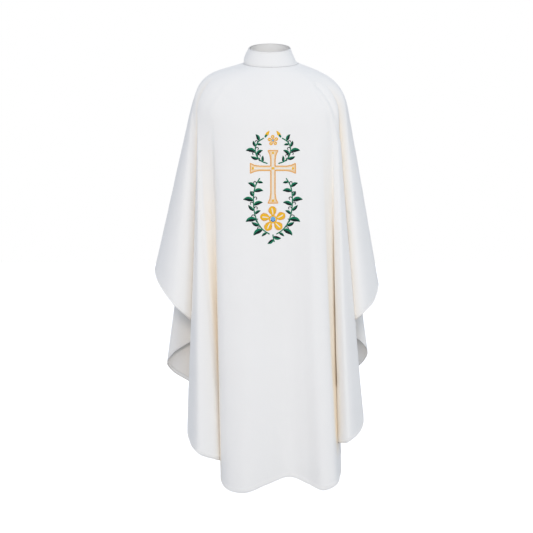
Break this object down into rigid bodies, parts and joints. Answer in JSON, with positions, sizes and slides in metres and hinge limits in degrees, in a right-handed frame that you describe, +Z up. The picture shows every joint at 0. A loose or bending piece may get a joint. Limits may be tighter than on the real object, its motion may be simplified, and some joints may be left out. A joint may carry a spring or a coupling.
{
  "type": "chasuble",
  "caption": "Full-cut chasuble in its worn form, hollow and open below, with a standing collar and an embroidered cross among leafy sprays on the chest.",
  "frame": {"origin": "middle of the neck opening, level with the sides of the collar seam", "axes": "+Z up along the wearer's spine; the front faces -Y; +X to the right of someone facing the front"},
  "size_m": [0.683, 0.414, 1.3381],
  "materials": {
    "cloth": "matt white wool-like polyester",
    "gold_thread": "satin embroidery thread",
    "green_thread": "satin embroidery thread",
    "yellow_thread": "satin embroidery thread",
    "blue_thread": "satin embroidery thread"
  },
  "bodies": {
    "root": {"front_panel": "cloth", "back_panel": "cloth", "collar": "cloth", "cross": "gold_thread", "spray_left": "green_thread", "spray_right": "green_thread", "spray_right_upper": "green_thread", "spray_left_upper": "green_thread", "spray_low": "green_thread", "flower_large": "yellow_thread", "flower_large_eye": "blue_thread", "flower_small": "yellow_thread", "flower_small_eye": "blue_thread", "bud_left": "yellow_thread", "bud_right": "yellow_thread"}
  },
  "joints": []
}
